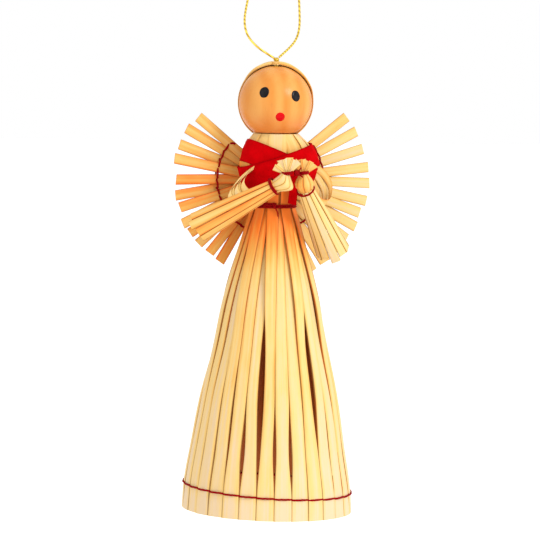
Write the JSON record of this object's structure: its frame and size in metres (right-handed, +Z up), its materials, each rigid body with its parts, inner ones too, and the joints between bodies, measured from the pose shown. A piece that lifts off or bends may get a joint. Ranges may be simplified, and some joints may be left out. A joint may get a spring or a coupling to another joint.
{
  "type": "straw angel hanging ornament",
  "caption": "Straw angel on a thread loop: bell skirt, fanned wings, flared sleeves, wooden bead head and crossed ribbons, for hanging as a folk decoration.",
  "frame": {"origin": "the point inside the top of the hanger loop where a hook or twig carries it", "axes": "+Z up, the face looks along -Y, +X to the right of someone who faces it"},
  "size_m": [0.056, 0.0472, 0.1714],
  "materials": {
    "skirt_straw": "satin straw, pressed half flat",
    "wing_straw": "satin straw, pressed flat",
    "sleeve_straw": "satin straw, pressed flat",
    "hair_straw": "satin straw, split",
    "inner_straw": "matt straw",
    "bead_wood": "turned wood, thin clear varnish",
    "eye_paint": "black gloss paint",
    "mouth_paint": "red gloss paint",
    "red_ribbon": "plain woven satin ribbon",
    "red_thread": "twisted sewing thread",
    "gold_thread": "twisted metallic yarn"
  },
  "bodies": {
    "hanger": {"hanger_loop": "gold_thread"},
    "crown": {"crown_knot": "gold_thread"},
    "figure": {"arm_left": "sleeve_straw", "arm_right": "sleeve_straw", "collar_straws": "sleeve_straw", "core_straws": "inner_straw", "hair_straws": "hair_straw", "hand_left": "sleeve_straw", "hand_right": "sleeve_straw", "hands_thread": "red_thread", "head_thread": "gold_thread", "hem_thread": "red_thread", "neck_knot": "gold_thread", "ribbon_left": "red_ribbon", "ribbon_right": "red_ribbon", "ribbon_tail": "red_ribbon", "skirt_straw_01": "skirt_straw", "skirt_straw_02": "skirt_straw", "skirt_straw_03": "skirt_straw", "skirt_straw_04": "skirt_straw", "skirt_straw_05": "skirt_straw", "skirt_straw_06": "skirt_straw", "skirt_straw_07": "skirt_straw", "skirt_straw_08": "skirt_straw", "skirt_straw_09": "skirt_straw", "skirt_straw_10": "skirt_straw", "skirt_straw_11": "skirt_straw", "skirt_straw_12": "skirt_straw", "skirt_straw_13": "skirt_straw", "skirt_straw_14": "skirt_straw", "skirt_straw_15": "skirt_straw", "skirt_straw_16": "skirt_straw", "skirt_straw_17": "skirt_straw", "skirt_straw_18": "skirt_straw", "skirt_straw_19": "skirt_straw", "skirt_straw_20": "skirt_straw", "skirt_straw_21": "skirt_straw", "skirt_straw_22": "skirt_straw", "skirt_straw_23": "skirt_straw", "skirt_straw_24": "skirt_straw", "skirt_straw_25": "skirt_straw", "skirt_straw_26": "skirt_straw", "skirt_straw_27": "skirt_straw", "skirt_straw_28": "skirt_straw", "skirt_straw_29": "skirt_straw", "skirt_straw_30": "skirt_straw", "sleeve_left": "sleeve_straw", "sleeve_right": "sleeve_straw", "waist_thread": "red_thread", "wing_left": "wing_straw", "wing_right": "wing_straw", "wing_thread_left": "red_thread", "wing_thread_right": "red_thread", "wing_tie": "red_thread", "wrist_thread_left": "red_thread", "wrist_thread_right": "red_thread"},
    "head": {"head_bead": "bead_wood", "eye_left": "eye_paint", "eye_right": "eye_paint", "mouth": "mouth_paint"}
  },
  "joints": [
    {"name": "thread_spin", "type": "hinge", "parent": "hanger", "child": "crown", "pos_m": [0, 0, -0.04775], "axis": [0, 0, 1], "continuous": true},
    {"name": "loop_swing", "type": "hinge", "parent": "crown", "child": "figure", "pos_m": [0, 0, -0.04775], "axis": [1, 0, 0], "range_deg": [-45, 45]},
    {"name": "head_turn", "type": "hinge", "parent": "figure", "child": "head", "pos_m": [0, 0, -0.0595], "axis": [0, 0, 1], "range_deg": [-40, 40]}
  ]
}
